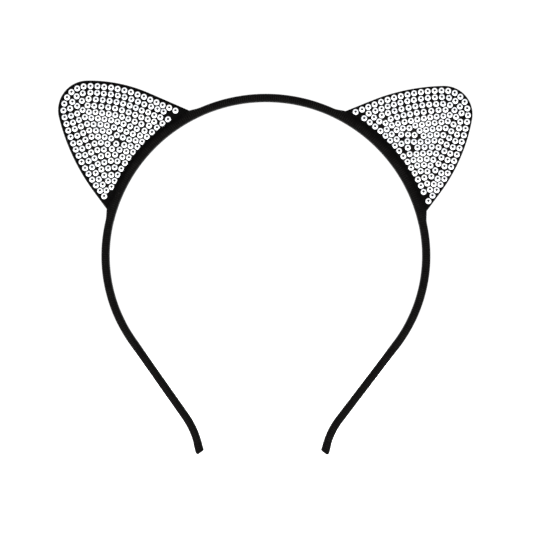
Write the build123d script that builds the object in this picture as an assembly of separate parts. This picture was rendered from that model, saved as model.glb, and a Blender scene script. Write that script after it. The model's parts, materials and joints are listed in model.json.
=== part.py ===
from build123d import *
import math
import os
import random

# Animal ears headband: a ribbon-covered band that grips the head, with two stone-set cat ears.
#
# Millimetres. +X is to the right as seen from the front, +Z up, and the stones face -Y.
# The origin is the centre of the crown's circle, in the middle of the opening for the head.
# Directions round the head are angles from straight up, positive towards +X.

# ---------------------------------------------------------------- band
crown_radius = 67.65  # centre line of the band over the crown
crown_half_angle = 78.0  # the crown's circle ends here on each side, just below the ears
band_depth = 5.0  # front to back
band_thickness = 3.45  # across, as seen from the front
band_corner = 1.25
cover_wall = 0.45  # satin ribbon with its glue
core_clearance = 0.05  # between the core strip and the ribbon
flex_gap = 0.6  # left open between the crown's and a leg's cover, where the leg bends away
tip_fold_length = 4.5  # the ribbon's end, folded over the strip's end
tip_fold_step = 0.12  # how far the fold stands out from the cover
tip_fold_wall = 0.75  # its thickness over the end
tip_slant = 21.0
tip_corner = 1.2

# Each leg goes on from the crown as an arc, a straight run, a reverse arc and a short straight end.
legs = {
    "left": dict(side=-1, round_radius=62.2, round_angle=47.1, straight=38.8,
                 flare_radius=34.4, flare_angle=21.5, end=3.6),
    "right": dict(side=1, round_radius=61.9, round_angle=49.3, straight=39.6,
                  flare_radius=30.5, flare_angle=23.6, end=2.7),
}

# ---------------------------------------------------------------- ears
# An ear is a round tip, then on each side a wide arc and a straight edge down to the band.
# facing is the direction that the straight edge faces; turn is how far its arc swings round.
# foot_row is how far the lowest row of stones stands above the band's outer face, and edge_row
# how far the outermost row lies inside the ear's outline, both to the stones' centres.
ears = {
    "left": dict(side=-1, tip_distance=97.6, tip_angle=50.2, tip_radius=12.5, foot_row=2.2, edge_row=2.4,
                 inner=dict(facing=-23.5, turn=24.2, radius=63.0),
                 outer=dict(facing=126.5, turn=22.7, radius=88.0)),
    "right": dict(side=1, tip_distance=96.5, tip_angle=51.0, tip_radius=12.0, foot_row=2.7, edge_row=2.0,
                  inner=dict(facing=-21.9, turn=20.8, radius=85.0),
                  outer=dict(facing=126.7, turn=26.4, radius=74.0)),
}
board_thickness = 1.34  # stiff felt inside the ear
cloth_thickness = 0.35
cloth_inset = 0.45  # the cloth's cut edge lies this far inside the ear's outline
hem_radius = 0.65  # the rolled edge
wire_radius = 0.3
wire_clearance = 0.05
board_inset = 2 * hem_radius + 0.05
board_corner = 0.8
foot_gap = 0.03  # between the band's outer face and what stands on it
glue_height = 0.25
binding_height = 0.85  # how far the ribbon's edges lap onto the ear
binding_foot = 1.1  # their thickness where they leave the band
binding_lip = 0.25  # and at their top
binding_overrun = 0.6  # how far they run past the ear's corners, in degrees

# ---------------------------------------------------------------- stones
stone_diameter = 2.45
stone_table = 1.0
stone_girdle = 0.25
stone_height = 1.0
stone_seat = 0.02  # the glue under each stone
stone_pitch = 2.88  # along the edge and foot rows
field_pitch = 2.95  # along the field's rows
row_pitch = 2.76  # from row to row
least_spacing = 2.62  # two places in the rows are never nearer than this, centre to centre
stone_wander = 0.05  # each stone sits a little off its place
field_rows = 8
filler_step = 0.5
filler_spacing = 2.12  # a gap between rows this wide takes one more stone
filling_rounds = 3  # gaps are filled and the field settled again, so many times
settling_rounds = 60  # the field's stones are nudged apart until they are evenly spaced
settled_spacing = 2.78

band_outer = crown_radius + band_thickness / 2
ear_foot = band_outer + foot_gap
ear_half = board_thickness / 2 + cloth_thickness
placing = random.Random(5)


def towards(angle):
    """The unit vector, drawn in (X, Z), at an angle from straight up, positive towards +X."""
    return Vector(math.sin(math.radians(angle)), math.cos(math.radians(angle)))


def angle_of(vector):
    return math.degrees(math.atan2(vector.X, vector.Y))


def upright(shape):
    """Stands a shape drawn in (X, Z) up in the plane of the headband."""
    return Plane.XZ * shape


def slab(shape, low, high):
    """A plate of a shape drawn in (X, Z), from low to high along Y."""
    return Pos(0, high, 0) * extrude(upright(shape), high - low)


# ---------------------------------------------------------------- band
def half_band(leg, from_top=False):
    """The centre line of a leg, drawn in (X, Z), or of the whole half from the crown's top."""
    side = leg["side"]
    pieces = []
    point = towards(side * crown_half_angle) * crown_radius
    heading = towards(side * (crown_half_angle + 90))
    if from_top:
        top = Vector(0, crown_radius)
        pieces.append(JernArc(top, (side, 0), crown_radius, -side * crown_half_angle))
    pieces.append(JernArc(point, heading, leg["round_radius"], -side * leg["round_angle"]))
    last = pieces[-1]
    pieces.append(Line(last @ 1, last @ 1 + (last % 1) * leg["straight"]))
    last = pieces[-1]
    pieces.append(JernArc(last @ 1, last % 1, leg["flare_radius"], side * leg["flare_angle"]))
    last = pieces[-1]
    pieces.append(Line(last @ 1, last @ 1 + (last % 1) * leg["end"]))
    return Wire([piece.edge() for piece in pieces])


def band_section(grow):
    """The band's rounded cross-section, grown or shrunk all round, with its width along X."""
    return RectangleRounded(band_depth + 2 * grow, band_thickness + 2 * grow, band_corner + grow)


def square_to(line, at):
    """The upright plane square to a line drawn in (X, Z); its own X runs front to back."""
    point, heading = line @ at, line % at
    return Plane((point.X, 0, point.Y), (0, 1, 0), (heading.X, 0, heading.Y))


def carried(section, line):
    return sweep(square_to(line, 0) * section, path=upright(line))


def past(line, distance):
    """A block that holds everything within a distance of a leg's end."""
    plane = square_to(line, 1 - distance / line.length)
    return plane * Pos(0, 0, 10) * Box(20, 20, 20)


def leg_end(line, side, half_width, back):
    """A block that ends as a leg does: cut at a slant, with its outer corner rounded."""
    heading = line % 1
    end = line @ 1 - heading * back
    out = Vector(-heading.Y, heading.X) * side
    normal = towards(angle_of(heading) + side * tip_slant)
    cut = Vector(-normal.Y, normal.X) * side
    corner = end + cut * (half_width / cut.dot(out))
    shoulder = corner - heading * 2
    room = 30
    outline = Polyline(corner, shoulder, shoulder + out * room, shoulder + out * room - heading * room,
                       end - out * room - heading * room, end - cut * room, close=True)
    face = make_face(outline)
    rounded = fillet(face.vertices().sort_by_distance(corner)[0], tip_corner)
    return slab(rounded, -band_depth, band_depth)


def crown_ring(section, half_angle):
    """Turns a cross-section, drawn as (Y, distance out from the crown's circle), round the crown."""
    top = Plane((0, 0, crown_radius), (0, 1, 0), (1, 0, 0))
    return revolve(Rot(0, -half_angle, 0) * (top * section), Axis.Y, 2 * half_angle)


def make_band():
    nodes = {}
    cover = band_section(0) - band_section(-cover_wall)
    inside = band_thickness / 2 - cover_wall
    whole_line = Wire([edge for leg in legs.values() for edge in half_band(leg, from_top=True).edges()])
    core = carried(band_section(-cover_wall - core_clearance), whole_line)
    for name, leg in legs.items():
        side = leg["side"]
        line = half_band(leg)
        nodes[name + "_leg_cover"] = carried(cover, line) - past(line, tip_fold_length)
        fold = carried(band_section(tip_fold_step), line) & past(line, tip_fold_length)
        fold &= leg_end(line, side, band_thickness / 2 + tip_fold_step, 0)
        room = carried(band_section(-cover_wall), line) & leg_end(line, side, inside, tip_fold_wall)
        nodes[name + "_tip_fold"] = fold - room
        core_end = leg_end(line, side, inside - core_clearance, tip_fold_wall + core_clearance)
        core -= past(line, tip_fold_length) - core_end
    nodes["band_core"] = core
    gap = math.degrees(flex_gap / crown_radius)
    nodes["crown_cover"] = crown_ring(cover, crown_half_angle - gap)
    return nodes


# ---------------------------------------------------------------- ears
def edge_arc(centre, radius, start, stop):
    """An arc from one facing direction to another."""
    ends = [centre + towards(angle) * radius for angle in (start, (start + stop) / 2, stop)]
    return ThreePointArc(*ends)


def down_to_circle(point, heading, radius):
    """Where a straight edge comes down to a circle round the origin."""
    half = point.dot(heading)
    return point + heading * (-half - math.sqrt(half**2 - point.dot(point) + radius**2))


def ear_edge(ear, inset, foot):
    """The ear's edge drawn in (X, Z), from its inner foot over the tip to its outer foot."""
    inner, outer = ear["inner"], ear["outer"]
    tip = towards(ear["tip_angle"]) * ear["tip_distance"]
    inner_turn = inner["facing"] + inner["turn"]
    outer_turn = outer["facing"] - outer["turn"]
    inner_centre = tip + towards(inner_turn) * (ear["tip_radius"] - inner["radius"])
    outer_centre = tip + towards(outer_turn) * (ear["tip_radius"] - outer["radius"])
    inner_arc = edge_arc(inner_centre, inner["radius"] - inset, inner["facing"], inner_turn)
    tip_arc = edge_arc(tip, ear["tip_radius"] - inset, inner_turn, outer_turn)
    outer_arc = edge_arc(outer_centre, outer["radius"] - inset, outer_turn, outer["facing"])
    inner_foot = down_to_circle(inner_arc @ 0, towards(inner["facing"] - 90), foot)
    outer_foot = down_to_circle(outer_arc @ 1, towards(outer["facing"] + 90), foot)
    return [Line(inner_foot, inner_arc @ 0), inner_arc, tip_arc, outer_arc,
            Line(outer_arc @ 1, outer_foot)]


def ear_face(ear, inset, foot, corner=0.0):
    """The ear's whole shape: its edge, closed by an arc along the band."""
    edge = ear_edge(ear, inset, foot)
    inner_foot, outer_foot = edge[0] @ 0, edge[-1] @ 1
    base = edge_arc(Vector(0, 0), foot, angle_of(outer_foot), angle_of(inner_foot))
    face = make_face([*edge, base])
    if corner:
        feet = face.vertices().filter_by(lambda vertex: Vector(vertex).length < foot + 0.01)
        face = fillet(feet, corner)
    return face


def foot_ring(ear, section, overrun=0.0):
    """Turns a cross-section, drawn as (Y, distance out from the origin), along the ear's foot."""
    edge = ear_edge(ear, 0, ear_foot)
    start = angle_of(edge[0] @ 0) - overrun
    stop = angle_of(edge[-1] @ 1) + overrun
    upward = Plane((0, 0, 0), (0, 1, 0), (1, 0, 0))
    return revolve(Rot(0, start, 0) * (upward * section), Axis.Y, stop - start)


def binding_section():
    """The two edges of the ribbon where they lap up onto the ear, front and back."""
    low = ear_foot
    high = ear_foot + binding_height
    face = ear_half + 0.01
    lap = make_face(Polyline((face, low), (face + binding_foot, low), (face + binding_lip, high),
                             (face, high), close=True))
    return lap + mirror(lap, Plane.YZ)


# ---------------------------------------------------------------- stones
def stone():
    """A flat-backed stone: a thin girdle, a sloping crown and a flat table, facing -Y."""
    outline = Polyline((0, 0), (stone_diameter / 2, 0), (stone_diameter / 2, stone_girdle),
                       (stone_table / 2, stone_height), (0, stone_height), close=True)
    solid = revolve(upright(make_face(outline)), Axis.Z)
    return Rot(90, 0, 0) * solid


def row_places(line, apex, pitch):
    """Places at a pitch along a line, both ways from the point nearest the apex."""
    middle = min(range(2001), key=lambda step: (line @ (step / 2000) - apex).length) / 2000
    steps = int(line.length / pitch) + 1
    for step in range(steps):
        for way in (1, -1):
            at = middle + way * (step + 0.5) * pitch / line.length
            if 0 < at < 1:
                place = line @ at
                yield place.X, place.Y


def spaced(places, taken, spacing):
    """The places that keep a spacing from those taken and from each other, in order."""
    kept = []
    for place in places:
        if all(math.dist(place, other) >= spacing for other in taken + kept):
            kept.append(place)
    return kept


def settle(field, fixed):
    """Nudges the field's stones apart, round after round, while the fixed rows stay put."""
    for _ in range(settling_rounds):
        for index, (x, y) in enumerate(field):
            push_x = push_y = 0
            for other in fixed + field[:index] + field[index + 1:]:
                gap = math.dist((x, y), other)
                if gap < settled_spacing:
                    share = 0.3 * (settled_spacing - gap) / gap
                    push_x += (x - other[0]) * share
                    push_y += (y - other[1]) * share
            field[index] = (x + push_x, y + push_y)
    return field


def lay_stones(ear):
    """Centres of the stones: the row along the edge, the row along the foot, and the field."""
    apex = towards(ear["tip_angle"]) * (ear["tip_distance"] + ear["tip_radius"])
    foot_row = band_outer + ear["foot_row"]
    edge_line = Wire([piece.edge() for piece in ear_edge(ear, ear["edge_row"], foot_row)])
    edge = spaced(row_places(edge_line, apex, stone_pitch), [], least_spacing)
    start, stop = angle_of(edge_line @ 0), angle_of(edge_line @ 1)
    step = math.degrees(stone_pitch / foot_row)
    count = int((stop - start) / step)
    first = (start + stop - (count - 1) * step) / 2
    arc = [towards(first + index * step) * foot_row for index in range(count)]
    foot = spaced([(place.X, place.Y) for place in arc], edge, least_spacing)

    # The field's rows follow the edge, each inside the last, and fillers close the gaps they leave.
    fixed = edge + foot
    field = []
    whole = ear_face(ear, ear["edge_row"], foot_row - 25)
    for row in range(1, field_rows + 1):
        for face in offset(whole, -row * row_pitch, kind=Kind.INTERSECTION).faces():
            above = [place for place in row_places(face.outer_wire(), apex, field_pitch)
                     if math.hypot(*place) > foot_row]
            field += spaced(above, fixed + field, least_spacing)
    inside = ear_face(ear, ear["edge_row"] + row_pitch / 2, foot_row + row_pitch / 2).face()
    box = inside.bounding_box()
    grid = [(box.min.X + across * filler_step, box.min.Y + up * filler_step)
            for up in range(int(box.size.Y / filler_step))
            for across in range(int(box.size.X / filler_step))]
    grid = [place for place in grid if inside.is_inside(place)]
    for _ in range(filling_rounds):
        field += spaced(grid, fixed + field, filler_spacing)
        field = [place for place in settle(field, fixed) if inside.is_inside(place)]
        field = spaced(field, fixed, stone_diameter + 2.2 * stone_wander)
    return {"edge": edge, "foot": foot, "field": field}


def make_ear(name, ear):
    """One ear, drawn on the +X side."""
    board = ear_face(ear, board_inset, ear_foot + board_inset, board_corner)
    cloth = ear_face(ear, cloth_inset, ear_foot)
    half = board_thickness / 2
    wire_loop = ear_face(ear, hem_radius, ear_foot + hem_radius, board_corner + hem_radius)
    wire_line = wire_loop.face().outer_wire()
    hem_line = Wire([piece.edge() for piece in ear_edge(ear, hem_radius, ear_foot + 2.5)])
    hem_ring = Circle(hem_radius) - Circle(wire_radius + wire_clearance)
    glue = Pos(0, ear_foot + glue_height / 2) * Rectangle(board_thickness, glue_height)
    nodes = {
        "board": slab(board, -half, half),
        "front_cloth": slab(cloth, -ear_half, -half),
        "back_cloth": slab(cloth, half, ear_half),
        "wire": carried(Circle(wire_radius), wire_line),
        "hem": carried(hem_ring, hem_line),
        "glue_line": foot_ring(ear, glue, -1.5),
        "binding": foot_ring(ear, binding_section(), binding_overrun),
    }
    seat = -ear_half - stone_seat
    for row, places in lay_stones(ear).items():
        stones = []
        for x, z in places:
            off_x, off_z = (placing.uniform(-stone_wander, stone_wander) for _ in "xz")
            stones.append(Pos(x + off_x, seat, z + off_z) * stone())
        nodes["stones_" + row] = Compound(children=stones)
        print(name, "ear", row, "stones:", len(stones))
    return nodes


def main():
    os.makedirs("parts", exist_ok=True)
    nodes = make_band()
    for name, ear in ears.items():
        for piece, shape in make_ear(name, ear).items():
            nodes[name + "_ear_" + piece] = mirror(shape, Plane.YZ) if ear["side"] < 0 else shape
    for name, shape in nodes.items():
        export_step(shape, os.path.join("parts", name + ".step"))
    print(len(nodes), "nodes")


main()
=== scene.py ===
# %% [markdown]
# # An animal ears headband
#
# This lesson dresses a headband whose frame is already fixed: a springy strip inside a black satin
# ribbon, with two felt ears that carry rows of small clear stones. The frame says where every piece
# is. Each step below looks at one piece of the real thing, says how it could be made in Blender, and
# then makes it. Lengths are worked out in millimetres and turned to metres when a mesh is made.

# %% Load the frame
import json
import math

import bpy
import numpy as np
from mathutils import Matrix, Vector


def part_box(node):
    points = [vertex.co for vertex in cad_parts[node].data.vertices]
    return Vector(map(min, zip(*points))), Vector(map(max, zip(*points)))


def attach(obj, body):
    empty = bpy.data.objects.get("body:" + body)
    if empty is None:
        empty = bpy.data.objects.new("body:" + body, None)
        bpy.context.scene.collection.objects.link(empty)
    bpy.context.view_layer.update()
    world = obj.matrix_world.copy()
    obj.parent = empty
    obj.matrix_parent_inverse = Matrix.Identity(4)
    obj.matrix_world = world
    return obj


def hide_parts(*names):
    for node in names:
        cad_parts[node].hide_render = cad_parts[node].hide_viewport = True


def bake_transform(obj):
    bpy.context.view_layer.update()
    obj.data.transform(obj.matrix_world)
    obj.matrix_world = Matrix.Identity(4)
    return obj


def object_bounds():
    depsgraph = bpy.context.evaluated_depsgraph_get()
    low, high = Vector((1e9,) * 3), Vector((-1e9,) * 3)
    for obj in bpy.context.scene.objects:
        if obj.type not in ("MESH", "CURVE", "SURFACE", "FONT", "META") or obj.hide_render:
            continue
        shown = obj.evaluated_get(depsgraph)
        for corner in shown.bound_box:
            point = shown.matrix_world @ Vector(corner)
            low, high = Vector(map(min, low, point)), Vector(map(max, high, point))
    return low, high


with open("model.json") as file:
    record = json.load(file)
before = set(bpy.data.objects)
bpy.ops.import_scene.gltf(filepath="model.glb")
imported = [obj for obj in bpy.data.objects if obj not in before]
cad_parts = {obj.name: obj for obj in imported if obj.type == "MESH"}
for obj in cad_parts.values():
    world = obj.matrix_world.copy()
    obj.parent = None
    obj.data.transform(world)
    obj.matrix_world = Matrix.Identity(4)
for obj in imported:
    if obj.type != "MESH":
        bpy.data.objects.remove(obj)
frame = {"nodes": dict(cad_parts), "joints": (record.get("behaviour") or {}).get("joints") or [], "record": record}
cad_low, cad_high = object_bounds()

nodes = frame["nodes"]
size = (cad_high - cad_low) * 1000
print("headband", " x ".join(f"{side:.1f}" for side in size), "mm, in", len(nodes), "pieces")

# %% [markdown]
# ## Reading the frame
#
# The crown of the band is one circle round the origin. The place where it seats on a head gives its
# inner radius, the top of its cover gives its outer radius, and the two hinges stand where the crown
# ends and the legs begin. Angles are counted from straight up, positive to the right.

# %% The crown, from the frame
seat = next(mount for mount in frame["record"]["mounts"] if mount["name"] == "head_seat")
hinge = next(joint for joint in frame["joints"] if joint["child"] == "right_leg")
inner_radius = seat["dims"]["r_mm"]
outer_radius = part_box("crown_cover")[1].z * 1000
crown_radius = (inner_radius + outer_radius) / 2
crown_half_angle = math.degrees(math.atan2(hinge["pos_m"][0], hinge["pos_m"][2]))
band_thickness = outer_radius - inner_radius
band_depth = (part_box("crown_cover")[1].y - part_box("crown_cover")[0].y) * 1000
ear_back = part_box("left_ear_back_cloth")[1].y * 1000
board_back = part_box("left_ear_board")[1].y * 1000
print(f"crown circle {crown_radius:.2f} mm, to {crown_half_angle:.1f} degrees each side")
print(f"band {band_thickness:.2f} by {band_depth:.2f} mm, ears {2 * ear_back:.2f} mm thick")

# %% [markdown]
# ## Lines made of arcs and straight runs
#
# A bent strip is a chain of arcs and straight runs that meet without a kink. Such a line is simplest
# to make from its heading. The heading changes evenly along an arc and stays put along a straight
# run, so it is a running sum, and the place on the line is a running sum of small steps along it.

# %% Trace a line from its heading
STEP = 0.05  # mm between the points of a traced line


def towards(angle):
    """Unit vectors (x, z) at angles in degrees from straight up: (sin angle, cos angle)."""
    turned = np.radians(angle)
    return np.stack([np.sin(turned), np.cos(turned)], axis=-1)


def trace(start, heading, runs):
    """Points and headings along a chain of runs, each (length, turn in degrees). The heading is the
    start's plus the turn so far; a point is the start plus the sum of step x direction so far."""
    lengths, turns = np.array(runs, float).T
    marks = np.concatenate([[0], np.cumsum(lengths)])
    along = np.linspace(0, marks[-1], int(marks[-1] / STEP) + 1)
    headings = heading + np.interp(along, marks, np.concatenate([[0], np.cumsum(turns)]))
    middles = (headings[1:] + headings[:-1]) / 2
    steps = towards(middles) * np.diff(along)[:, None]
    return along, np.array(start) + np.concatenate([[[0, 0]], np.cumsum(steps, axis=0)]), headings


def arc(radius, turn):
    """A run along an arc: its length is radius x turn in radians."""
    return radius * math.radians(abs(turn)), turn


# %% The band's own line, one half at a time
legs = {
    "left": dict(side=-1, round_radius=62.2, round_angle=47.1, straight=38.8,
                 flare_radius=34.4, flare_angle=21.5, end=3.6),
    "right": dict(side=1, round_radius=61.9, round_angle=49.3, straight=39.6,
                  flare_radius=30.5, flare_angle=23.6, end=2.7),
}


def half_band(leg):
    """The centre line from the crown's top to one tip: the crown's arc, the leg's arc, a straight
    run, a reverse arc and a short straight end. It is traced on the right and mirrored."""
    runs = [arc(crown_radius, crown_half_angle), arc(leg["round_radius"], leg["round_angle"]),
            (leg["straight"], 0), arc(leg["flare_radius"], -leg["flare_angle"]), (leg["end"], 0)]
    along, points, headings = trace((0, crown_radius), 90, runs)
    return along, points * (leg["side"], 1), headings * leg["side"]


lines = {name: half_band(leg) for name, leg in legs.items()}
for name, (along, points, _) in lines.items():
    low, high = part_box(name + "_tip_fold")
    print(name, f"half {along[-1]:.1f} mm long; its end is at {points[-1].round(1)},",
          f"in a tip box from {low.x * 1000:.1f} to {high.x * 1000:.1f} mm")

# %% [markdown]
# ## Surfaces as grids
#
# Every new piece here is a surface worked out as a whole grid of points at once, rows along the
# piece and columns round it. One function turns a grid into a piece. It joins the last column to the
# first, closes both ends, and turns all the faces outwards if the enclosed volume comes out negative.
# It also lays a UV map in millimetres, so a weave can follow the surface at its real size.

# %% From a grid of points to a piece
def link(mesh, name, material, smooth=True):
    """Puts a mesh in the scene as a named piece with one material."""
    mesh.update()
    mesh.materials.append(material)
    mesh.polygons.foreach_set("use_smooth", np.full(len(mesh.polygons), smooth))
    piece = bpy.data.objects.new(name, mesh)
    bpy.context.scene.collection.objects.link(piece)
    return piece


def face_out(points, quads, ends):
    """Reverses all the faces if the volume they enclose, a sum of p0 . (p1 x p2) / 6, is negative."""
    corners = points[quads]
    crossed = np.cross(corners[:, 1], corners[:, 2]) + np.cross(corners[:, 2], corners[:, 3])
    if np.einsum("ij,ij->", corners[:, 0], crossed) < 0:
        return quads[:, ::-1], [end[::-1] for end in ends]
    return quads, ends


def measured(grid, along):
    """The UV map of a tube: the distance round each row, summed column by column, and along it."""
    closed = np.concatenate([grid, grid[:, :1]], axis=1)
    around = np.cumsum(np.linalg.norm(np.diff(closed, axis=1), axis=2), axis=1)
    around = np.concatenate([np.zeros((len(grid), 1)), around], axis=1)
    return np.stack([around, np.broadcast_to(along[:, None], around.shape)], axis=-1)


def tube(name, grid, along, material):
    """A closed piece from grid[row, column] in mm, with each row's distance along it for the UV map.
    The UV map has one column more than the grid, so that it doesn't wrap round."""
    rows, columns = grid.shape[:2]
    number = np.arange(rows * columns).reshape(rows, columns)
    beside = np.roll(number, -1, axis=1)
    quads = np.stack([number[:-1], beside[:-1], beside[1:], number[1:]], axis=-1).reshape(-1, 4)
    points = grid.reshape(-1, 3) - grid.reshape(-1, 3).mean(axis=0)
    quads, ends = face_out(points, quads, [number[0][::-1], number[-1]])
    mesh = bpy.data.meshes.new(name)
    faces = quads.tolist() + [end.tolist() for end in ends]
    mesh.from_pydata((grid.reshape(-1, 3) / 1000).tolist(), [], faces)
    loops = np.zeros(len(mesh.loops), int)
    mesh.loops.foreach_get("vertex_index", loops)
    row, column = np.divmod(loops, columns)
    face_of = np.repeat(np.arange(len(faces)), [len(face) for face in faces])
    seam = (column == 0) & (face_of < len(quads)) & (face_of % columns == columns - 1)
    uv = measured(grid, along)[row, np.where(seam, columns, column)]
    mesh.uv_layers.new(name="measure").data.foreach_set("uv", uv.astype(np.float32).ravel())
    return link(mesh, name, material)


# %% [markdown]
# ## Carrying a section along the band
#
# The ribbon round the strip gives the band a soft, rounded-off rectangle for a section. A
# superellipse is a good formula for that: between an ellipse and a box, with one number for how
# square it is. The section is carried along the line: its own "out" follows the line's outward side,
# and its depth always runs front to back.

# %% The section and the sweep
COLUMNS = 36  # points round the band
TURN = np.linspace(0, 2 * np.pi, COLUMNS, endpoint=False)  # radians, where they are
SQUARENESS = 2.6  # 2 is an ellipse, larger is boxier


def rounded_section(half_out, half_deep, columns=COLUMNS, squareness=SQUARENESS):
    """Points (out, deep) of a superellipse: each is its half size x the sign of the cosine or sine
    of a turning angle x its absolute value to the power 2 / squareness."""
    turn = np.linspace(0, 2 * np.pi, columns, endpoint=False)
    power = 2 / squareness
    cosine, sine = np.cos(turn), np.sin(turn)
    return np.stack([half_out * np.sign(cosine) * np.abs(cosine) ** power,
                     half_deep * np.sign(sine) * np.abs(sine) ** power], axis=-1)


def carry(points, headings, side, sections):
    """Places sections[row, column] of (out, deep) along a line: point + out x the outward unit
    vector in the line's plane, with deep along +Y. Outward is a quarter turn left of the heading."""
    outward = towards(headings - 90 * side)
    flat = points[:, None] + outward[:, None] * sections[..., :1]
    return np.stack([flat[..., 0], sections[..., 1], flat[..., 1]], axis=-1)


def ease(value):
    """A smooth step from 0 to 1: 3v^2 - 2v^3, held flat outside."""
    held = np.clip(value, 0, 1)
    return held * held * (3 - 2 * held)


def rounding(share, steepest):
    """The drop of a rounded edge at a share of its width: 1 - sqrt(1 - share^2). The square is times
    steepest, just below 1, so that the surface never stands quite upright."""
    return 1 - np.sqrt(1 - steepest * share**2)


# %% [markdown]
# ## A few functions for materials
#
# A material is a small tree of nodes. One function adds a node with its settings and links. Colours
# are picked as sRGB hex values, as on a paint card, and a shader wants linear light, so another
# function turns one into the other. Plain finishes, whose colour only follows a grain, share one more.

# %% Material tools
def colour(code):
    """An sRGB hex colour as linear RGBA: (c / 12.92) below 0.04045, ((c + 0.055) / 1.055)^2.4 above."""
    channels = np.array([int(code[at:at + 2], 16) for at in (1, 3, 5)]) / 255
    linear = np.where(channels <= 0.04045, channels / 12.92, ((channels + 0.055) / 1.055) ** 2.4)
    return (*linear.tolist(), 1.0)


def join(tree, node, inputs):
    """Gives a node's sockets what inputs says, each a value or another node's output."""
    for socket, value in inputs.items():
        if isinstance(value, bpy.types.NodeSocket):
            tree.links.new(value, node.inputs[socket])
        else:
            node.inputs[socket].default_value = value
    return node


def add(tree, kind, inputs=None, **settings):
    """Adds a node: settings are its own options, and inputs its sockets."""
    node = tree.nodes.new("ShaderNode" + kind)
    for option, value in settings.items():
        setattr(node, option, value)
    return join(tree, node, inputs or {})


def new_material(name):
    """A plain material; returns it, its tree and the shader that its surface comes from."""
    material = bpy.data.materials.new(name)
    material.use_nodes = True
    tree = material.node_tree
    tree.nodes.clear()
    shader = add(tree, "BsdfPrincipled")
    add(tree, "OutputMaterial", {"Surface": shader.outputs["BSDF"]})
    return material, tree, shader


def ramp(tree, factor, stops):
    """A colour ramp through (position, hex colour) stops."""
    node = add(tree, "ValToRGB", {"Fac": factor})
    for _ in stops[2:]:
        node.color_ramp.elements.new(0.5)
    for element, (position, code) in zip(node.color_ramp.elements, stops):
        element.position = position
        element.color = colour(code)
    return node.outputs["Color"]


def grained_material(name, noise, stops, finish, rough=None, bump=None):
    """A material whose colour follows one noise. Finish holds the shader's other values. Rough is
    the range of a roughness that follows the noise too, and bump the strength and depth of a bump."""
    material, tree, shader = new_material(name)
    place = add(tree, "TexCoord").outputs["Object"]
    grain = add(tree, "TexNoise", {"Vector": place, **noise}).outputs["Fac"]
    join(tree, shader, {"Base Color": ramp(tree, grain, stops), **finish})
    if rough:
        spread = add(tree, "MapRange", {"Value": grain, "To Min": rough[0], "To Max": rough[1]})
        join(tree, shader, {"Roughness": spread.outputs[0]})
    if bump:
        raised = add(tree, "Bump", {"Height": grain, "Strength": bump[0], "Distance": bump[1]})
        join(tree, shader, {"Normal": raised.outputs["Normal"]})
    return material


WAVE_UNIT = 2 * math.pi / 20  # a Wave texture of scale 1 repeats in this length

# %% [markdown]
# ## Black satin ribbon
#
# The band is wrapped in polyester satin, dyed black and glued down. Its long floating threads give a
# soft streak of sheen, never a mirror, and pulled tight round the strip it shows fine ribs across.
# Fibres scatter light, so the plain dielectric reflection is kept weak, or the edges would glare. The
# streak is mostly painted: the colour is painted lighter where the surface faces front or back, a
# painted highlight along the middle, and darker where it turns to the side, painted shade. The real
# ribs are about 0.3 mm apart, too fine to see at arm's length, so they are drawn at 0.9 mm.

# %% The ribbon's material
RIB_PITCH = 0.9  # mm
THREAD = 0.35  # mm, the width of a streak
# Painted shade on the sides: the share of the painted highlight that is left where the surface faces sideways.
PAINTED_SIDE_SHADE = 0.2  # how much of the colour's lift is left on a surface that faces sideways


def satin_material():
    material, tree, shader = new_material("black polyester satin ribbon, wrapped and glued")
    place = add(tree, "UVMap", uv_map="measure").outputs["UV"]
    ribs = add(tree, "TexWave", {"Vector": place, "Scale": WAVE_UNIT / RIB_PITCH, "Distortion": 0.9,
                                 "Detail": 2.0, "Detail Scale": 1.6},
               wave_type="BANDS", bands_direction="Y", wave_profile="SIN").outputs["Fac"]
    long_way = add(tree, "Mapping", {"Vector": place, "Scale": (1 / THREAD, 0.12 / THREAD, 1.0)})
    threads = add(tree, "TexNoise", {"Vector": long_way.outputs["Vector"], "Scale": 1.0,
                                     "Detail": 3.0}).outputs["Fac"]
    clouds = add(tree, "TexNoise", {"Vector": place, "Scale": 0.22, "Detail": 4.0}).outputs["Fac"]
    mixed = add(tree, "Math", {0: threads, 1: clouds}, operation="MULTIPLY").outputs[0]
    fibres = add(tree, "Math", {0: mixed, 1: ribs, 2: 0.3}, operation="MULTIPLY_ADD").outputs[0]
    # Painted highlight and shade: the colour is lifted by the square of the normal's Y where the surface faces
    # front or back, and drops towards a small share where it faces sideways.
    normal = add(tree, "SeparateXYZ", {"Vector": add(tree, "TexCoord").outputs["Normal"]})
    forward = normal.outputs["Y"]
    flat = add(tree, "Math", {0: forward, 1: forward}, operation="MULTIPLY").outputs[0]
    facing = add(tree, "Math", {0: flat, 1: 1 - PAINTED_SIDE_SHADE, 2: PAINTED_SIDE_SHADE},
                 operation="MULTIPLY_ADD").outputs[0]
    lift = add(tree, "Math", {0: facing, 1: fibres}, operation="MULTIPLY").outputs[0]
    tone = ramp(tree, lift, [(0.05, "#020202"), (0.34, "#060505"), (0.62, "#1a1918")])
    rough = add(tree, "MapRange", {"Value": threads, "To Min": 0.42, "To Max": 0.62}).outputs[0]
    height = add(tree, "Math", {0: ribs, 1: threads}, operation="ADD").outputs[0]
    bump = add(tree, "Bump", {"Height": height, "Strength": 0.35, "Distance": 0.00006})
    join(tree, shader, {"Base Color": tone, "Roughness": rough, "Normal": bump.outputs["Normal"],
                        "Specular IOR Level": 0.03, "Sheen Weight": 0.01, "Sheen Roughness": 0.4})
    return material


satin = satin_material()
print("made", satin.name)
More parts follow.
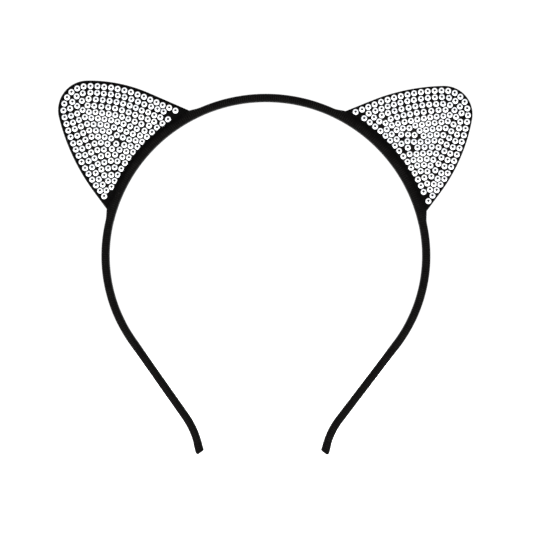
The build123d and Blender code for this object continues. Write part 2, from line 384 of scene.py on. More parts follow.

# %% [markdown]
# ## The ribbon round the band
#
# The real covering is one ribbon from tip to tip. The legs flex outwards when the band goes on, so
# the covering has to bend with them. It is made in three lengths that meet under the ears' bindings:
# one over the crown, which stays with it, and one down each side, whose placement is only baked into
# its mesh and which is not made to bend with the leg. Each has faint cross ribs, a slow waviness from
# hand wrapping, and on the inner face the low step where the ribbon's edge laps over itself.

# %% Sweep the ribbon
RIB_HEIGHT = 0.012  # mm
WAVINESS = 0.025  # mm
WAVES, TWIST = (2.9, 7.3), 5.1  # mm along the band per radian of the slow waves and of their twist
LAP_STEP = 0.09  # mm, the thickness of the overlapping edge
LAP_START, LAP_RISE, LAP_EDGE = 2.2, 0.5, 0.25  # radians round: where it starts, rises and ends
ROW_STEP = 0.25  # mm between rows
MEETING_ANGLE = 50.0  # degrees from the top, in the middle of each ear
TIP_FOLD = 4.5  # mm of each end is covered by the folded ribbon
RIBBON_STOP = 0.6  # share of the fold that is left where the ribbon under it stops


def ribbon_sections(along, grow=0.0):
    """Sections of the covered band at each distance along it: the rounded section, pushed out by
    ribs and waviness, both sines of the distance, and by the lap's step on the inner face."""
    base = rounded_section(band_thickness / 2, band_depth / 2)
    unit = base / np.linalg.norm(base, axis=1)[:, None]
    ribs = RIB_HEIGHT * np.sin(2 * np.pi * along / RIB_PITCH)
    slow = WAVINESS * (np.sin(along / WAVES[0] + 0.4) + np.sin(along / WAVES[1])) / 2
    twist = np.sin(2 * TURN[None] + along[:, None] / TWIST)
    lap = LAP_STEP * ease((np.pi - TURN) / LAP_EDGE + 0.5) * ease((TURN - LAP_START) / LAP_RISE)
    push = grow + ribs[:, None] + slow[:, None] * (0.5 + 0.5 * twist) + lap[None]
    return base[None] + unit[None] * push[..., None]


def rows_between(line, start, stop, step=ROW_STEP):
    """Evenly spaced places on a traced line between two distances along it."""
    along, points, headings = line
    wanted = np.linspace(start, stop, int(round((stop - start) / step)) + 1)
    at = [np.interp(wanted, along, values) for values in (points[:, 0], points[:, 1], headings)]
    return wanted, np.stack(at[:2], axis=-1), at[2]


meeting = crown_radius * math.radians(MEETING_ANGLE)


def crown_ribbon():
    """The length over the crown, from under one ear's binding to under the other's."""
    parts = []
    for name, leg in legs.items():
        along, points, headings = rows_between(lines[name], 0, meeting)
        grid = carry(points, headings, leg["side"], ribbon_sections(along))
        parts.append(grid if leg["side"] > 0 else grid[:0:-1])
    grid = np.concatenate(parts)
    along = np.linspace(-meeting, meeting, len(grid))
    return tube("crown_ribbon", grid, along, satin)


def side_ribbon(name, leg):
    """The length from under one ear's binding down to the folded tip."""
    end = lines[name][0][-1] - TIP_FOLD * RIBBON_STOP
    along, points, headings = rows_between(lines[name], meeting, end)
    grid = carry(points, headings, leg["side"], ribbon_sections(along))
    return tube(name + "_ribbon", grid, along, satin)


def bend_with_leg(piece):
    """Bakes a piece's placement into its mesh; it does not make the piece bend from the crown to the leg."""
    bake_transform(piece)


crown_piece = crown_ribbon()
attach(crown_piece, "crown")
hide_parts("crown_cover")
for name, leg in legs.items():
    piece = side_ribbon(name, leg)
    bend_with_leg(piece)
    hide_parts(name + "_leg_cover")
    print(piece.name, len(piece.data.polygons), "faces")

# %% [markdown]
# ## The folded tips
#
# At each tip the ribbon is folded over the strip's end and stuck down. That makes a last few
# millimetres that stand out a little, a slanted end face with its outer corner rounded off, and a
# sharp inner corner that kicks out slightly. The sweep is the same, but the points reach further along
# the line on the outer side, which slants the end face, and less far again at its very edge, which
# rounds the corner.

# %% Fold the tips
TIP_SLANT = math.tan(math.radians(21.0))
TIP_STEP, STEP_RUN = 0.13, 0.06  # mm that the fold stands out, and the share of it that steps out
TIP_ROUND = 1.25  # mm, the outer corner's radius
TIP_KICK, KICK_START = 0.13, 0.72  # mm that the inner corner stands out, and the share where it starts
TIP_CREASE, CREASES_ALONG, CREASES_ROUND = 0.03, 17, 18  # mm, and radians along and round the fold
TIP_BULGE = 0.25  # mm that the end face bulges in its middle
TIP_ROWS, CLOSING_ROWS = 46, 13
SMALLEST = 0.04  # the last closing row's share of the section


def tip_fold(name, leg):
    """Rows run from the fold's start to its end. Each point's distance along the line is stretched so
    that the last row lies on the slanted, rounded end; the end then closes with shrinking rows."""
    along, points, headings = lines[name]
    total = along[-1]
    base = rounded_section(band_thickness / 2, band_depth / 2)
    unit = base / np.linalg.norm(base, axis=1)[:, None]
    half = band_thickness / 2
    share = np.linspace(0, 1, TIP_ROWS)
    step_in = ease(share / STEP_RUN)
    kick_in = ease((share - KICK_START) / (1 - KICK_START))
    kick = TIP_KICK * kick_in[:, None] * ease(-base[None, :, 0] / half)
    wrinkles = np.sin(np.linspace(0, CREASES_ROUND, COLUMNS))
    crease = TIP_CREASE * np.sin(share * CREASES_ALONG)[:, None] * wrinkles[None]
    push = (TIP_STEP * step_in)[:, None] + kick + crease * step_in[:, None]
    sections = base[None] + unit[None] * push[..., None]
    shrink = np.linspace(1, SMALLEST, CLOSING_ROWS + 1)[1:]
    closing = sections[-1][None] * shrink[:, None, None]
    out = np.concatenate([sections, closing])
    across = out[..., 0]
    corner = np.clip(across - (half - TIP_ROUND), 0, TIP_ROUND) / TIP_ROUND
    end = total + across * TIP_SLANT - TIP_ROUND * rounding(corner, 0.98)
    start = total - TIP_FOLD
    full = np.concatenate([share, np.ones(CLOSING_ROWS)])[:, None]
    bulge = TIP_BULGE * (1 - np.concatenate([np.ones(TIP_ROWS), shrink])[:, None] ** 4)
    reach = start + (end - start) * full + bulge
    held = np.minimum(reach, total)
    beyond = np.maximum(reach - total, 0)
    place = np.stack([np.interp(held, along, points[:, axis]) for axis in (0, 1)], axis=-1)
    heading = np.interp(held, along, headings)
    flat = place + towards(heading - 90 * leg["side"]) * out[..., :1]
    flat = flat + towards(heading) * beyond[..., None]
    grid = np.stack([flat[..., 0], out[..., 1], flat[..., 1]], axis=-1)
    distance = np.concatenate([share * TIP_FOLD, TIP_FOLD + (1 - shrink) * half])
    return tube(name + "_tip", grid, distance, satin)


for name, leg in legs.items():
    piece = tip_fold(name, leg)
    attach(piece, name + "_leg")
    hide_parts(name + "_tip_fold")
    print(piece.name, len(piece.data.polygons), "faces")

# %% [markdown]
# ## The springy strip inside
#
# Nobody sees the strip, but it is what makes the band work, and an exported model can be cut open.
# It is injection-moulded plastic: smooth, a little cloudy, with faint flow lines along its length.
# The real strip bends with each leg; here it is made in two halves that meet at the top, neither made to bend with
# its leg.

# %% Mould the strip
CORE_THICKNESS, CORE_DEPTH = 2.35, 3.9  # mm, just inside the ribbon
CORE_COLUMNS = 24
CORE_ROW_STEP = 0.8  # mm
CORE_STOP = 1.4  # mm short of the tip's end


def plastic_material():
    material, tree, shader = new_material("black polypropylene strip, injection moulded")
    place = add(tree, "UVMap", uv_map="measure").outputs["UV"]
    drawn_out = add(tree, "Mapping", {"Vector": place, "Scale": (1.6, 0.06, 1.0)})
    flow = add(tree, "TexNoise", {"Vector": drawn_out.outputs["Vector"], "Scale": 1.0,
                                  "Detail": 2.0}).outputs["Fac"]
    tone = ramp(tree, flow, [(0.3, "#141415"), (0.7, "#232325")])
    rough = add(tree, "MapRange", {"Value": flow, "To Min": 0.35, "To Max": 0.5}).outputs[0]
    bump = add(tree, "Bump", {"Height": flow, "Strength": 0.15, "Distance": 0.00005})
    join(tree, shader, {"Base Color": tone, "Roughness": rough, "Normal": bump.outputs["Normal"],
                        "IOR": 1.49})
    return material


plastic = plastic_material()
core_section = rounded_section(CORE_THICKNESS / 2, CORE_DEPTH / 2, CORE_COLUMNS)
for name, leg in legs.items():
    end = lines[name][0][-1] - CORE_STOP
    along, points, headings = rows_between(lines[name], 0, end, CORE_ROW_STEP)
    grid = carry(points, headings, leg["side"], np.repeat(core_section[None], len(along), axis=0))
    piece = tube(name + "_core", grid, along, plastic)
    bend_with_leg(piece)
    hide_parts("band_core")
print("strip in two halves,", len(piece.data.polygons), "faces each")

# %% [markdown]
# ## The outline of an ear
#
# Each ear is a round tip, a wide arc on each side, and a straight edge down to the band. The edge is
# traced from its heading like the band. The tip's centre and the arcs' radii are the ear's own
# measures; the foot of each edge is where it comes down to the band's outer face.

# %% Trace the ears' edges
ears = {
    "left": dict(side=-1, tip_distance=97.6, tip_angle=50.2, tip_radius=12.5, binding=0.95,
                 inner=dict(facing=-23.5, turn=24.2, radius=63.0),
                 outer=dict(facing=126.5, turn=22.7, radius=88.0)),
    "right": dict(side=1, tip_distance=96.5, tip_angle=51.0, tip_radius=12.0, binding=1.3,
                  inner=dict(facing=-21.9, turn=20.8, radius=85.0),
                  outer=dict(facing=126.7, turn=26.4, radius=74.0)),
}
LONG_EDGE = 60.0  # mm, more than either straight edge


def ear_edge(ear, foot):
    """The edge, drawn on the right, from its inner foot over the tip to its outer foot, as points and
    the direction that each faces. The heading is the direction faced plus a quarter turn; the trace
    runs past both feet and is cut where it comes down to the circle of radius foot."""
    inner, outer = ear["inner"], ear["outer"]
    inner_turn, outer_turn = inner["facing"] + inner["turn"], outer["facing"] - outer["turn"]
    tip = towards(ear["tip_angle"]) * ear["tip_distance"]
    centre = tip + towards(inner_turn) * (ear["tip_radius"] - inner["radius"])
    corner = centre + towards(inner["facing"]) * inner["radius"]
    start = corner - towards(inner["facing"] + 90) * LONG_EDGE
    runs = [(LONG_EDGE, 0), arc(inner["radius"], inner["turn"]),
            arc(ear["tip_radius"], outer_turn - inner_turn), arc(outer["radius"], outer["turn"]),
            (LONG_EDGE, 0)]
    _, points, headings = trace(start, inner["facing"] + 90, runs)
    tip_at = np.argmin(np.linalg.norm(points - tip, axis=1))
    inside = np.flatnonzero(np.linalg.norm(points, axis=1) <= foot)
    kept = slice(inside[inside < tip_at].max() + 1, inside[inside > tip_at].min())
    return points[kept], headings[kept] - 90


def resample(points, facings, count):
    """The same line with a given number of evenly spaced points."""
    lengths = np.concatenate([[0], np.cumsum(np.linalg.norm(np.diff(points, axis=0), axis=1))])
    wanted = np.linspace(0, lengths[-1], count)
    values = [np.interp(wanted, lengths, row) for row in (*points.T, facings)]
    return np.stack(values[:2], axis=-1), values[2], wanted


for name, ear in ears.items():
    points, _ = ear_edge(ear, outer_radius)
    low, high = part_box(name + "_ear_hem")
    reach = np.abs([low.x, high.x]).max() * 1000
    print(name, f"ear: edge {len(points) * STEP:.1f} mm round, reaching {points[:, 0].max():.2f} mm",
          f"out; the hem in the frame reaches {reach:.2f} mm")

# %% [markdown]
# ## Black ear cloth
#
# The ears are faced front and back with a plain-woven black cotton cloth, bonded to the felt. Up close
# it is a fine checker of threads over and under. Between the stones the middle of the front is painted
# greyer than its rim, in patches: a painted sheen where the domed cloth would catch the light, fainter
# on the back. The threads are about 0.25 mm apart; the weave is drawn at 0.5 mm so that it can be seen.

# %% The cloth's material
WEAVE = 0.5  # mm from thread to thread


def cloth_material():
    material, tree, shader = new_material("black cotton cloth, plain woven and bonded")
    place = add(tree, "TexCoord").outputs["Object"]
    waves = [add(tree, "TexWave", {"Vector": place, "Scale": WAVE_UNIT / (WEAVE / 1000),
                                   "Distortion": 0.4, "Detail": 1.0},
                 wave_type="BANDS", bands_direction=way).outputs["Fac"] for way in ("X", "Z")]
    weave = add(tree, "Math", {0: waves[0], 1: waves[1]}, operation="MULTIPLY").outputs[0]
    fibres = add(tree, "TexNoise", {"Vector": place, "Scale": 2200.0, "Detail": 3.0}).outputs["Fac"]
    patches = add(tree, "TexNoise", {"Vector": place, "Scale": 90.0, "Detail": 3.0}).outputs["Fac"]
    # Painted sheen: a value per point, highest in the middle of each cloth and none at its rim, broken into
    # patches by a noise and added to lift the colour.
    painted_sheen = add(tree, "Attribute", attribute_name="painted_sheen").outputs["Fac"]
    patchy_painted_sheen = add(tree, "Math", {0: painted_sheen, 1: patches}, operation="MULTIPLY").outputs[0]
    lift = add(tree, "Math", {0: fibres, 1: 0.25, 2: patchy_painted_sheen}, operation="MULTIPLY_ADD").outputs[0]
    tone = ramp(tree, lift, [(0.08, "#070707"), (0.35, "#0b0a0a"), (0.75, "#1f1d1d")])
    height = add(tree, "Math", {0: fibres, 1: 0.4, 2: weave}, operation="MULTIPLY_ADD").outputs[0]
    bump = add(tree, "Bump", {"Height": height, "Strength": 0.5, "Distance": 0.00008})
    join(tree, shader, {"Base Color": tone, "Roughness": 0.85, "Normal": bump.outputs["Normal"],
                        "Specular IOR Level": 0.03, "Sheen Weight": 0.02, "Sheen Roughness": 0.5})
    return material


cloth = cloth_material()
print("made", cloth.name)

# %% [markdown]
# ## Front and back cloth
#
# Each cloth is a thin sheet stretched over the felt and turned down at the rim. A polar grid suits
# it: rings that grow from a middle point to the outline over the outer face, and then shrink back
# under the inner one, so that the sheet is closed. Near the rim the outer face rounds down in a
# quarter circle.

# %% Stretch the cloth
OUTLINE_POINTS = 360
FOOT_POINTS = 120
CLOTH_RINGS = 44
RING_CROWDING = 1.6  # a power; above 1 the rings are closer together near the rim
RING_STEP = 0.5  # mm from ring to ring in the UV map
SMALLEST_RING = 0.005  # its share of the outline
MIDDLE_UP = 0.58  # the rings' middle, as a share of the way from the band to the tip's centre
RIM_ROUND = 0.75  # mm from the rim where the cloth starts to turn down
RIM_DOWN, RIM_UNDER = 0.2, 0.05  # mm past the board's face, of the outer and the inner side's rim
CLOTH_INSET = 0.4  # mm inside the ear's outline
PUCKER, PUCKERS = 0.02, (1.1, 0.9)  # mm, and radians per mm across and up
BACK_PAINTED_SHEEN = 0.35  # how strong the back's painted sheen is, beside the front's


def ear_loop(ear, inset):
    """The closed outline: the edge moved in by inset, then the foot's arc back along the band."""
    points, facings = ear_edge(ear, outer_radius)
    points, facings, _ = resample(points, facings, OUTLINE_POINTS)
    moved = points - towards(facings) * inset
    angles = [math.degrees(math.atan2(*moved[at])) for at in (-1, 0)]
    foot = towards(np.linspace(*angles, FOOT_POINTS + 2)[1:-1]) * outer_radius
    return np.concatenate([moved, foot])


def ear_cloth(name, ear, facing_way):
    """Ring k of the outer face is middle + (outline - middle) x share k; its height is the cloth's
    outer level, less a quarter round within RIM_ROUND of the rim, plus faint puckers."""
    loop = ear_loop(ear, CLOTH_INSET)
    middle_radius = outer_radius * (1 - MIDDLE_UP) + ear["tip_distance"] * MIDDLE_UP
    middle = towards(ear["tip_angle"]) * middle_radius
    share = 1 - np.linspace(0, 1, CLOTH_RINGS) ** RING_CROWDING * (1 - SMALLEST_RING)
    flat = middle + (loop - middle)[None] * share[:, None, None]
    from_rim = np.linalg.norm(flat - loop[None], axis=2)
    drop = 1 - np.clip(from_rim / RIM_ROUND, 0, 1)
    rounded = (ear_back - board_back + RIM_DOWN) * rounding(drop, 0.97)
    waves = np.sin(flat[..., 0] * PUCKERS[0]) * np.sin(flat[..., 1] * PUCKERS[1])
    pucker = PUCKER * waves * (1 - drop)
    outer = ear_back - rounded + pucker
    under = np.array([1.0, 0.5, SMALLEST_RING])
    back = middle + (loop - middle)[None] * under[:, None, None]
    level = np.full(back.shape[:2], board_back)
    level[0] = board_back - RIM_UNDER
    flat = np.concatenate([flat[::-1], back])
    height = np.concatenate([outer[::-1], level]) * facing_way
    grid = np.stack([flat[..., 0] * ear["side"], height, flat[..., 1]], axis=-1)
    side_name = "front" if facing_way < 0 else "back"
    piece = tube(f"{name}_ear_{side_name}", grid, np.arange(len(grid)) * RING_STEP, cloth)
    # Painted sheen per ring: 1 in the middle of the cloth's outer face, falling to 0 at its rim, and 0 on its
    # inner face.
    painted_sheen = np.concatenate([1 - share[::-1] ** 3, np.zeros(len(under))])
    spread = np.repeat(painted_sheen, grid.shape[1]) * (1 if facing_way < 0 else BACK_PAINTED_SHEEN)
    attribute = piece.data.attributes.new("painted_sheen", "FLOAT", "POINT")
    attribute.data.foreach_set("value", spread.astype(np.float32))
    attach(piece, "crown")
    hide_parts(f"{name}_ear_{side_name}_cloth")
    return piece


for name, ear in ears.items():
    for way in (-1, 1):
        piece = ear_cloth(name, ear, way)
        print(piece.name, len(piece.data.polygons), "faces")

# %% [markdown]
# ## The rolled edge
#
# Round the rim the cloth is rolled over a wire and glued, which leaves a smooth, even bead with tiny
# gathers. It is a tube along the outline, a little deeper than it is wide, with the gathers as a low
# ripple in its surface.

# %% Roll the edge
HEM_COLUMNS = 20
HEM_ROWS = 620
HEM_HALF = 0.65  # mm, half its width in the ear's plane
HEM_SHALLOWER = 0.12  # mm less than the ear's half thickness, its own half depth
HEM_SQUARENESS = 2.3
HEM_SUNK = 0.6  # mm that its feet go down into the band
GATHER = 0.012  # mm
GATHERS, DRIFT, DRIFTS = 5.2, 1.5, 0.7  # radians: gathers per mm, how far they drift, drifts per mm


def hem(name, ear):
    """The superellipse section carried along the edge moved in by half the hem's width, swelling and
    shrinking by a ripple whose length varies slowly."""
    points, facings = ear_edge(ear, outer_radius - HEM_SUNK)
    points, facings, along = resample(points, facings, HEM_ROWS)
    centre = points - towards(facings) * HEM_HALF
    section = rounded_section(HEM_HALF, ear_back - HEM_SHALLOWER, HEM_COLUMNS, HEM_SQUARENESS)
    wander = along * GATHERS + DRIFT * np.sin(along * DRIFTS)
    ripple = 1 + GATHER / HEM_HALF * np.sin(wander)
    grid = carry(centre, facings + 90, 1, section[None] * ripple[:, None, None])
    grid[..., 0] *= ear["side"]
    piece = tube(name + "_ear_rolled_edge", grid, along, cloth)
    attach(piece, "crown")
    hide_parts(name + "_ear_hem")
    return piece


for name, ear in ears.items():
    piece = hem(name, ear)
    print(piece.name, len(piece.data.polygons), "faces")

# %% [markdown]
# ## The binding at the ear's foot
#
# The ribbon's two edges lap up onto the ear, front and back, and pinch it. Seen from the front this
# makes the band look a little thicker below an ear, and it fills the corners where the ear's sides
# come down. The section is a teardrop: the band's own section on the head's side, drawn out to two
# thin lips on the ear's side. Towards both ends it eases back to the plain band.

# %% Bind the ears' feet
BINDING_ROWS = 260
BINDING_RUN = 3.2  # degrees past the ear's corners, over which the lips die away
BINDING_GROW = 0.04  # mm over the ribbon below
LIP = 0.22  # mm, how thick a lip is at its edge
LIP_EASE = 1.6  # runs from each end where the lips are at their full height
LIP_POWER = 1.5  # how late the section is drawn out
PINCH_START = 0.18  # of the band's thickness above its middle
SHOULDER = 0.35  # a power; lower is squarer


def binding(name, ear):
    """Each row mixes two sections by an eased share that is 1 below the ear and 0 at both ends: the
    plain band, and a teardrop whose half depth falls smoothly from the band's to the ear's."""
    points, _ = ear_edge(ear, outer_radius)
    start, stop = (math.degrees(math.atan2(*points[at])) for at in (0, -1))
    angles = np.linspace(start - BINDING_RUN, stop + BINDING_RUN, BINDING_ROWS)
    from_ends = [(angles - angles[0]) / BINDING_RUN, (angles[-1] - angles) / BINDING_RUN]
    share = ease(from_ends[0] / LIP_EASE) * ease(from_ends[1] / LIP_EASE)
    along = np.radians(angles) * crown_radius
    plain = ribbon_sections(along, BINDING_GROW)
    outward = np.clip(plain[..., 0] / (band_thickness / 2), 0, None)
    top = band_thickness / 2 + ear["binding"]
    rise = plain[..., 0] + outward**LIP_POWER * ear["binding"] * share[:, None]
    low = band_thickness * PINCH_START
    pinch = ease((rise - low) / (top - low)) * share[:, None]
    shoulder = np.abs(np.sin(TURN))[None] ** SHOULDER
    deep = np.abs(plain[..., 1]) * (1 - pinch) + (ear_back + LIP) * shoulder * pinch
    sections = np.stack([rise, np.sign(plain[..., 1]) * deep], axis=-1)
    grid = carry(towards(angles) * crown_radius, angles + 90, 1, sections)
    grid[..., 0] *= ear["side"]
    piece = tube(name + "_ear_foot_binding", grid, along, satin)
    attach(piece, "crown")
    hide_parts(name + "_ear_binding")
    return piece


for name, ear in ears.items():
    piece = binding(name, ear)
    print(piece.name, len(piece.data.polygons), "faces")

# %% [markdown]
# ## Felt, wire and glue
#
# Three pieces inside each ear keep the frame's own shapes, because those are right: a felt board, a
# steel wire and a bead of glue. They only need finishes. Pressed felt is a mat of fine fibres,
# drawn wire is finely mottled, and set hot-melt glue is milky and smooth.

# %% Finishes for the inner pieces
inner_finishes = {
    "board": grained_material("grey-black felt, pressed and stiffened",
                              {"Scale": 1400.0, "Detail": 6.0, "Distortion": 1.2},
                              [(0.3, "#1a1919"), (0.7, "#3a3838")],
                              {"Roughness": 0.95, "Specular IOR Level": 0.1}, bump=(0.6, 0.0002)),
    "wire": grained_material("mild steel wire, cold drawn", {"Scale": 3000.0, "Detail": 2.0},
                             [(0.3, "#8d8f92"), (0.7, "#b9babd")], {"Metallic": 1.0},
                             rough=(0.25, 0.45)),
    "glue_line": grained_material("hot-melt glue, set", {"Scale": 500.0, "Detail": 2.0},
                                  [(0.3, "#d9d2bd"), (0.7, "#ece8da")],
                                  {"Roughness": 0.35, "IOR": 1.48}),
}
for name in ears:
    for part, finish in inner_finishes.items():
        node = nodes[f"{name}_ear_{part}"]
        node.data.materials.clear()
        node.data.materials.append(finish)
print("finished in each ear:", ", ".join(inner_finishes))

# %% [markdown]
# ## The stones
#
# Each stone is pressed glass with a flat foil back and a faceted crown: a small flat table, a ring of
# shallow facets round it, and a ring of steep ones down to a thin girdle. The foil sends light
# straight back, so from the front a steep facet is as bright as what lies to its side, and the table
# as dark as what lies in front. That is why each stone reads as a white ring with a dark eye. A
# polished silver surface cut to the same facets shows exactly that, with no noise.
#
# The frame holds the stones as plain cut-off cones, and their places are read from it, one at a time.
# The middle of the points on a flat top is a stone's centre, and those within its radius are used up.

# %% The stones' material
def stone_material():
    material, tree, shader = new_material("clear glass stone, pressed, with a silver foil back")
    shade = add(tree, "Attribute", attribute_name="shade").outputs["Fac"]
    place = add(tree, "TexCoord").outputs["Object"]
    specks = add(tree, "TexNoise", {"Vector": place, "Scale": 1600.0, "Detail": 1.0}).outputs["Fac"]
    mixed = add(tree, "Math", {0: specks, 1: 0.25, 2: shade}, operation="MULTIPLY_ADD").outputs[0]
    tone = ramp(tree, mixed, [(0.1, "#c9ccd2"), (0.55, "#eef0f4"), (1.0, "#ffffff")])
    rough = add(tree, "MapRange", {"Value": specks, "To Min": 0.03, "To Max": 0.1}).outputs[0]
    join(tree, shader, {"Base Color": tone, "Metallic": 1.0, "Roughness": rough})
    return material


glass = stone_material()

# %% One stone, and all of them at once
SIDES = 12
STONE_RADIUS = 1.225  # mm
TABLE_RADIUS, TABLE_HEIGHT = 0.46, 0.90  # mm
STAR_RADIUS, STAR_HEIGHT = 0.64, 0.848  # mm
GIRDLE = 0.44  # mm above the flat back
BACK_EDGE = 0.04  # mm that the flat back is smaller than the girdle
TILT = 2.5  # degrees, how unevenly the stones are set
SHADES = 0.35, 0.8  # from the dullest stone to the brightest
LEVEL = 0.01  # mm, points this near the front are on a flat top
SLACK = 0.02  # mm beyond a stone's radius that is still its own
chance = np.random.default_rng(11)


def stone_template():
    """Points (x, y, z) in mm about the middle of the flat back, facing -Y: rings of SIDES points at
    the back, the girdle, the star facets and the table. The star's ring is turned by half a facet."""
    rings = [(STONE_RADIUS - BACK_EDGE, 0.0, 0.0), (STONE_RADIUS, GIRDLE, 0.0),
             (STAR_RADIUS, STAR_HEIGHT, 0.5), (TABLE_RADIUS, TABLE_HEIGHT, 0.0)]
    turn = np.arange(SIDES)
    layers = []
    for radius, height, shift in rings:
        angle = 2 * np.pi * (turn + shift) / SIDES
        layers.append(np.stack([radius * np.cos(angle), np.full(SIDES, -height),
                                radius * np.sin(angle)], axis=-1))
    return np.concatenate(layers)


def stone_faces():
    """Quads round the girdle, triangles between the turned rings, and a polygon at each end."""
    ring = np.arange(SIDES)
    after = np.roll(ring, -1)
    faces = np.stack([ring, after, after + SIDES, ring + SIDES], axis=-1).tolist()
    for level, ahead in ((1, True), (2, False)):
        low, high = level * SIDES, (level + 1) * SIDES
        faces += np.stack([ring + low, after + low, (ring if ahead else after) + high], axis=-1).tolist()
        top = np.stack([(after if ahead else ring) + low, after + high, ring + high], axis=-1)
        faces += top.tolist()
    return faces + [ring[::-1].tolist(), (ring + 3 * SIDES).tolist()]


def stone_places(node):
    """Centres (x, z) in mm of the stones in a CAD node, and the level of their flat backs."""
    co = np.zeros(len(node.data.vertices) * 3, np.float32)
    node.data.vertices.foreach_get("co", co)
    left = co.reshape(-1, 3).astype(float) * 1000
    back = left[:, 1].max()
    found = []
    while len(left):
        near = np.linalg.norm(left[:, [0, 2]] - left[0, [0, 2]], axis=1) < 2 * STONE_RADIUS
        mine = left[near]
        tops = mine[np.abs(mine[:, 1] - mine[:, 1].min()) < LEVEL]
        table = tops[np.linalg.norm(tops[:, [0, 2]] - tops[0, [0, 2]], axis=1) < STONE_RADIUS]
        centre = (table[:, [0, 2]].max(axis=0) + table[:, [0, 2]].min(axis=0)) / 2
        left = left[np.linalg.norm(left[:, [0, 2]] - centre, axis=1) > STONE_RADIUS + SLACK]
        found.append(centre)
    return np.array(found), back


def tilted(points, count):
    """Copies of the points for a number of stones, each spun about Y and tipped a little about X and
    Z. A small tip is a shear of the height: y + x tan(a) + z tan(b)."""
    spin = chance.uniform(0, 2 * np.pi, count)
    tip = np.tan(np.radians(chance.normal(0, TILT, (2, count))))
    x, y, z = points.T
    turned_x = x[None] * np.cos(spin)[:, None] - z[None] * np.sin(spin)[:, None]
    turned_z = x[None] * np.sin(spin)[:, None] + z[None] * np.cos(spin)[:, None]
    crown = np.clip(-y / GIRDLE, 0, 1)[None]
    turned_y = y[None] + crown * (turned_x * tip[0][:, None] + turned_z * tip[1][:, None])
    return np.stack([turned_x, turned_y, turned_z], axis=-1)


template, faces = stone_template(), stone_faces()
total = 0
for name in ears:
    for row in ("edge", "foot", "field"):
        node = nodes[f"{name}_ear_stones_{row}"]
        centres, back = stone_places(node)
        shapes = tilted(template, len(centres))
        shapes += np.stack([centres[:, 0], np.full(len(centres), back), centres[:, 1]], axis=-1)[:, None]
        offsets = np.arange(len(centres)) * len(template)
        mesh = bpy.data.meshes.new(f"{name}_{row}_stones")
        every = [[corner + int(offset) for corner in face] for offset in offsets for face in faces]
        mesh.from_pydata((shapes.reshape(-1, 3) / 1000).tolist(), [], every)
        shade = np.repeat(chance.uniform(*SHADES, len(centres)), len(template)).astype(np.float32)
        mesh.attributes.new("shade", "FLOAT", "POINT").data.foreach_set("value", shade)
        piece = link(mesh, f"{name}_{row}_stones", glass, smooth=False)
        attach(piece, "crown")
        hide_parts(node.name)
        total += len(centres)
        print(piece.name, len(centres), "stones")
print(total, "stones in all")

# %% [markdown]
# ## Floor, light and camera
#
# A plain white studio: a white floor, five softboxes, and white all round. What the stones mirror
# matters most. To the sides everything is white, so the steep facets are white, and in front, a little
# above the middle, there is the dark of the room behind the camera, which the tables mirror. The world
# gives that to mirror-like rays, a low even grey to matt surfaces, and plain white behind the object.
# The long lens keeps the view flat, with hardly any perspective.

# %% The floor
low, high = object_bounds()
FLOOR_WIDE, FLOOR_BACK = 3.0, 3.0  # metres
FLOOR_FRONT = 0.42  # metres; it stops here, so the stones' tables don't mirror it

paper = grained_material("white paper roll, matt", {"Scale": 60.0, "Detail": 3.0},
                         [(0.3, "#f7f7f7"), (0.7, "#fcfcfc")],
                         {"Roughness": 0.9, "Specular IOR Level": 0.0,
                          "Emission Color": colour("#ffffff"), "Emission Strength": 1.0})
mesh = bpy.data.meshes.new("floor")
corners = [(-FLOOR_WIDE, -FLOOR_FRONT), (FLOOR_WIDE, -FLOOR_FRONT),
           (FLOOR_WIDE, FLOOR_BACK), (-FLOOR_WIDE, FLOOR_BACK)]
mesh.from_pydata([(x, y, low.z) for x, y in corners], [], [(0, 1, 2, 3)])
floor = link(mesh, "floor", paper, smooth=False)

# %% The world
DARK_TILT = 12.0  # degrees above straight ahead
DARK_CORE, DARK_EDGE = 20.0, 38.0  # degrees from its middle to where it starts to fade, and ends
DARK, BRIGHT = 0.02, 1.25  # strengths in the dark patch and round it
MATT_STRENGTH, BEHIND_STRENGTH = 0.08, 1.05  # for matt surfaces, and seen straight on


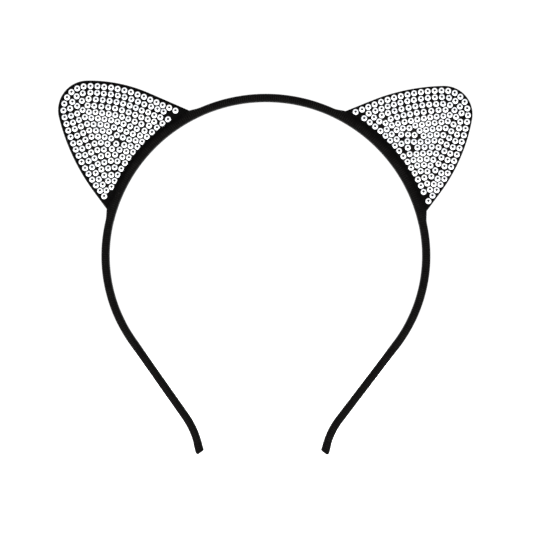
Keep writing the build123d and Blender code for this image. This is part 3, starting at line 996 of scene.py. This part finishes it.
def studio_world():
    world = bpy.data.worlds.new("white studio")
    world.use_nodes = True
    tree = world.node_tree
    tree.nodes.clear()
    ray = add(tree, "LightPath")
    way = add(tree, "TexCoord").outputs["Generated"]
    tilt = math.radians(DARK_TILT)
    middle = (0.0, -math.cos(tilt), math.sin(tilt))
    facing = add(tree, "VectorMath", {0: way, 1: middle}, operation="DOT_PRODUCT").outputs["Value"]
    edge, core = (math.cos(math.radians(angle)) for angle in (DARK_EDGE, DARK_CORE))
    mirrored = add(tree, "MapRange", {"Value": facing, "From Min": edge, "From Max": core,
                                      "To Min": BRIGHT, "To Max": DARK}).outputs[0]
    matt = add(tree, "Mix", {0: ray.outputs["Is Diffuse Ray"], 2: mirrored, 3: MATT_STRENGTH},
               data_type="FLOAT").outputs[0]
    seen = add(tree, "Mix", {0: ray.outputs["Is Camera Ray"], 2: matt, 3: BEHIND_STRENGTH},
               data_type="FLOAT").outputs[0]
    background = add(tree, "Background", {"Color": colour("#ffffff"), "Strength": seen})
    add(tree, "OutputWorld", {"Surface": background.outputs["Background"]})
    return world


bpy.context.scene.world = studio_world()


# %% The lights
def soft_light(name, place, width, power):
    """A square softbox aimed at the object's middle, and left out of what mirrors show."""
    data = bpy.data.lights.new(name, "AREA")
    data.shape, data.size, data.energy = "SQUARE", width, power
    lamp = bpy.data.objects.new(name, data)
    lamp.location = place
    lamp.rotation_euler = ((low + high) / 2 - Vector(place)).to_track_quat("-Z", "Y").to_euler()
    lamp.visible_glossy = False
    bpy.context.scene.collection.objects.link(lamp)


for light in (("front softbox", (-0.25, -1.2, 0.45), 0.7, 9.0),
              ("top softbox", (0.1, 0.1, 1.5), 0.9, 8.0),
              ("left softbox", (-1.3, 0.4, 0.4), 0.7, 5.0),
              ("right softbox", (1.3, 0.4, 0.3), 0.7, 4.0),
              ("back softbox", (0.4, 1.2, 0.6), 0.8, 22.0)):
    soft_light(*light)

# %% The camera
LENS = 200.0  # mm
SENSOR = 36.0  # mm
VIEW_SHARE = 1.283  # the view's width over the object's
OFF_CENTRE = 0.0005, 0.0004  # metres to the right and up
centre = (low + high) / 2
view_width = (high.x - low.x) * VIEW_SHARE
distance = view_width * LENS / SENSOR
data = bpy.data.cameras.new("camera")
data.lens, data.sensor_width = LENS, SENSOR
camera = bpy.data.objects.new("camera", data)
camera.location = (centre.x + OFF_CENTRE[0], low.y - distance, centre.z + OFF_CENTRE[1])
camera.rotation_euler = (math.radians(90), 0, 0)
bpy.context.scene.collection.objects.link(camera)
bpy.context.scene.camera = camera
bpy.context.scene.view_settings.view_transform = "Standard"
print(f"camera {distance:.2f} m in front, view {view_width * 1000:.0f} mm wide")
